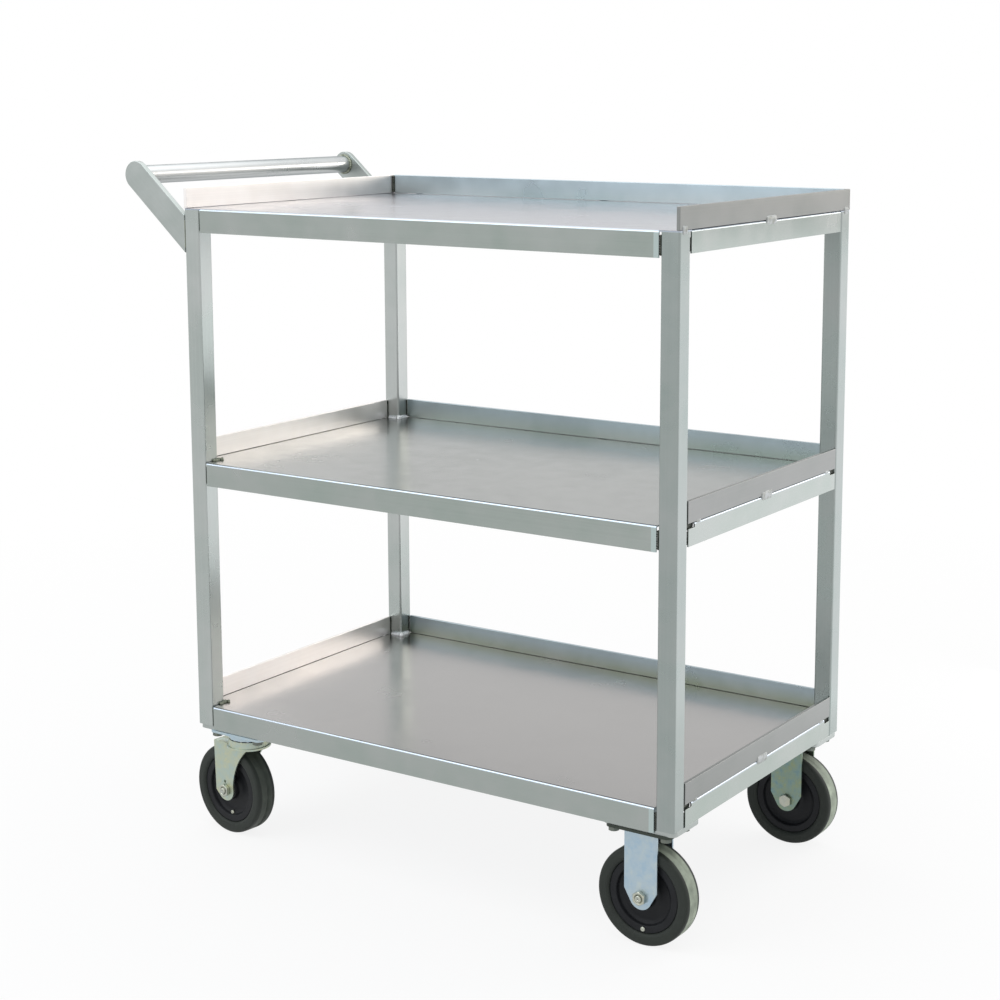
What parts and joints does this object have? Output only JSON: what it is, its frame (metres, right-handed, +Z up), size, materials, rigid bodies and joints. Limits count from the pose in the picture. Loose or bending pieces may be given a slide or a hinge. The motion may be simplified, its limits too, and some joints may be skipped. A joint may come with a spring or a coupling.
{
  "type": "food service trolley",
  "caption": "Welded aluminium service trolley with open shelves, low flat-bar lips, an angled push handle and swivel and rigid casters.",
  "frame": {"origin": "on the floor, below the middle of the whole trolley's box", "axes": "+Z up; X along the trolley with the push handle at -X and the rigid casters at +X; the open side without a lip is at -Y"},
  "size_m": [0.8806, 0.4572, 0.9373],
  "materials": {
    "frame": "mill, lightly brushed",
    "shelf": "mill sheet, soft grain",
    "weld": "bright weld bead",
    "zinc": "blue-white zinc plate",
    "bolt_steel": "zinc plated, dull",
    "core": "black moulded",
    "tyre": "dark grey solid tyre"
  },
  "bodies": {
    "cart": {"leg_front_left": "frame", "leg_front_right": "frame", "leg_back_left": "frame", "leg_back_right": "frame", "shelf_top": "shelf", "shelf_middle": "shelf", "shelf_bottom": "shelf", "lip_top_back": "frame", "lip_top_left": "frame", "lip_top_right": "frame", "lip_middle_back": "frame", "lip_middle_left": "frame", "lip_middle_right": "frame", "lip_bottom_back": "frame", "lip_bottom_left": "frame", "lip_bottom_right": "frame", "handle_arm_front": "frame", "handle_arm_back": "frame", "handle_grip": "frame", "weld_lips": "weld", "weld_frame": "weld", "weld_handle": "weld", "pad_front_left": "frame", "pad_front_right": "frame", "pad_back_left": "frame", "pad_back_right": "frame", "bolts_left": "bolt_steel", "bolts_right": "bolt_steel", "swivel_front_plate": "zinc", "swivel_front_kingpin": "bolt_steel", "rigid_front_fork": "zinc", "rigid_front_axle": "bolt_steel", "rigid_front_nut": "bolt_steel", "rigid_front_sleeve": "bolt_steel", "swivel_back_plate": "zinc", "swivel_back_kingpin": "bolt_steel", "rigid_back_fork": "zinc", "rigid_back_axle": "bolt_steel", "rigid_back_nut": "bolt_steel", "rigid_back_sleeve": "bolt_steel"},
    "swivel_front": {"swivel_front_fork": "zinc", "swivel_front_balls": "bolt_steel", "swivel_front_axle": "bolt_steel", "swivel_front_nut": "bolt_steel", "swivel_front_sleeve": "bolt_steel"},
    "wheel_swivel_front": {"swivel_front_core": "core", "swivel_front_tyre": "tyre"},
    "wheel_rigid_front": {"rigid_front_core": "core", "rigid_front_tyre": "tyre"},
    "swivel_back": {"swivel_back_fork": "zinc", "swivel_back_balls": "bolt_steel", "swivel_back_axle": "bolt_steel", "swivel_back_nut": "bolt_steel", "swivel_back_sleeve": "bolt_steel"},
    "wheel_swivel_back": {"swivel_back_core": "core", "swivel_back_tyre": "tyre"},
    "wheel_rigid_back": {"rigid_back_core": "core", "rigid_back_tyre": "tyre"}
  },
  "joints": [
    {"name": "swivel_front_turn", "type": "hinge", "parent": "cart", "child": "swivel_front", "pos_m": [-0.26922, -0.1976, 0.14], "axis": [0, 0, 1], "continuous": true},
    {"name": "wheel_swivel_front_roll", "type": "hinge", "parent": "swivel_front", "child": "wheel_swivel_front", "pos_m": [-0.29707, -0.19467, 0.0635], "axis": [0.1045, 0.9945, 0], "continuous": true},
    {"name": "swivel_back_turn", "type": "hinge", "parent": "cart", "child": "swivel_back", "pos_m": [-0.26922, 0.1976, 0.14], "axis": [0, 0, 1], "continuous": true},
    {"name": "wheel_swivel_back_roll", "type": "hinge", "parent": "swivel_back", "child": "wheel_swivel_back", "pos_m": [-0.29707, 0.19467, 0.0635], "axis": [-0.1045, 0.9945, 0], "continuous": true},
    {"name": "wheel_rigid_front_roll", "type": "hinge", "parent": "cart", "child": "wheel_rigid_front", "pos_m": [0.37678, -0.1976, 0.0635], "axis": [0, 1, 0], "continuous": true},
    {"name": "wheel_rigid_back_roll", "type": "hinge", "parent": "cart", "child": "wheel_rigid_back", "pos_m": [0.37678, 0.1976, 0.0635], "axis": [0, 1, 0], "continuous": true}
  ]
}
